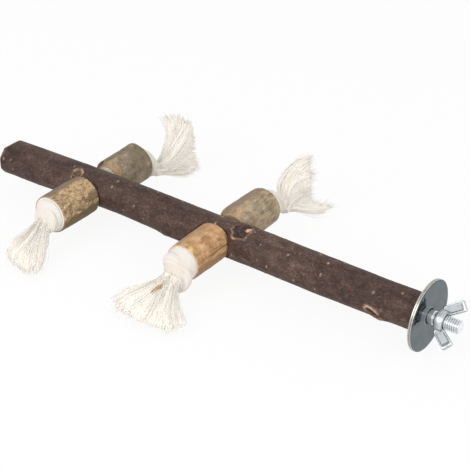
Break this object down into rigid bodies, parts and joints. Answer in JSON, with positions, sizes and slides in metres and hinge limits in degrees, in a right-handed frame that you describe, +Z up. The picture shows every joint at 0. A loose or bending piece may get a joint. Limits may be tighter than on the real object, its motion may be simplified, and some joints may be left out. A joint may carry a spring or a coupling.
{
  "type": "bird perch",
  "caption": "Natural branch perch that bolts to a cage, crossed by cotton ropes with bark-covered chewing logs, knots and frayed tassels.",
  "frame": {"origin": "on the bolt's axis, on the inner washer's outer face, where the cage bars are clamped", "axes": "+X out along the bolt, away from the branch; +Z up; -Y towards the front logs"},
  "size_m": [0.3135, 0.1592, 0.04],
  "materials": {
    "branch_bark": "rough bark",
    "log_bark": "rough bark",
    "cotton": "matte",
    "bright_zinc": "bright",
    "zinc_steel": "satin"
  },
  "bodies": {
    "perch": {"branch": "branch_bark", "hanger_bolt": "zinc_steel", "rope_left": "cotton", "rope_right": "cotton", "knot_front_left": "cotton", "knot_rear_left": "cotton", "knot_front_right": "cotton", "knot_rear_right": "cotton", "tassel_front_left": "cotton", "tassel_rear_left": "cotton", "tassel_front_right": "cotton", "tassel_rear_right": "cotton"},
    "inner_washer": {"inner_washer": "bright_zinc"},
    "outer_washer": {"outer_washer": "bright_zinc"},
    "wing_nut": {"wing_nut": "zinc_steel"},
    "log_front_left": {"log_front_left": "log_bark"},
    "log_rear_left": {"log_rear_left": "log_bark"},
    "log_front_right": {"log_front_right": "log_bark"},
    "log_rear_right": {"log_rear_right": "log_bark"}
  },
  "joints": [
    {"name": "nut_turn", "type": "hinge", "parent": "perch", "child": "inner_washer", "pos_m": [0, 0, 0], "axis": [1, 0, 0], "range_deg": [-720, 2160]},
    {"name": "nut_travel", "type": "slide", "parent": "inner_washer", "child": "wing_nut", "axis": [1, 0, 0], "range_m": [-0.00252, 0.00752]},
    {"name": "outer_washer_slide", "type": "slide", "parent": "perch", "child": "outer_washer", "axis": [1, 0, 0], "range_m": [0, 0.0023]},
    {"name": "log_front_left_spin", "type": "hinge", "parent": "perch", "child": "log_front_left", "pos_m": [-0.2245, 0, 0], "axis": [0, 1, 0], "continuous": true},
    {"name": "log_rear_left_spin", "type": "hinge", "parent": "perch", "child": "log_rear_left", "pos_m": [-0.2245, 0, 0], "axis": [0, 1, 0], "continuous": true},
    {"name": "log_front_right_spin", "type": "hinge", "parent": "perch", "child": "log_front_right", "pos_m": [-0.132, 0, 0], "axis": [0, 1, 0], "continuous": true},
    {"name": "log_rear_right_spin", "type": "hinge", "parent": "perch", "child": "log_rear_right", "pos_m": [-0.132, 0, 0], "axis": [0, 1, 0], "continuous": true}
  ],
  "couplings": [
    {"joint": "nut_travel", "follows": "nut_turn", "m_per_rad": 0.00019894}
  ]
}
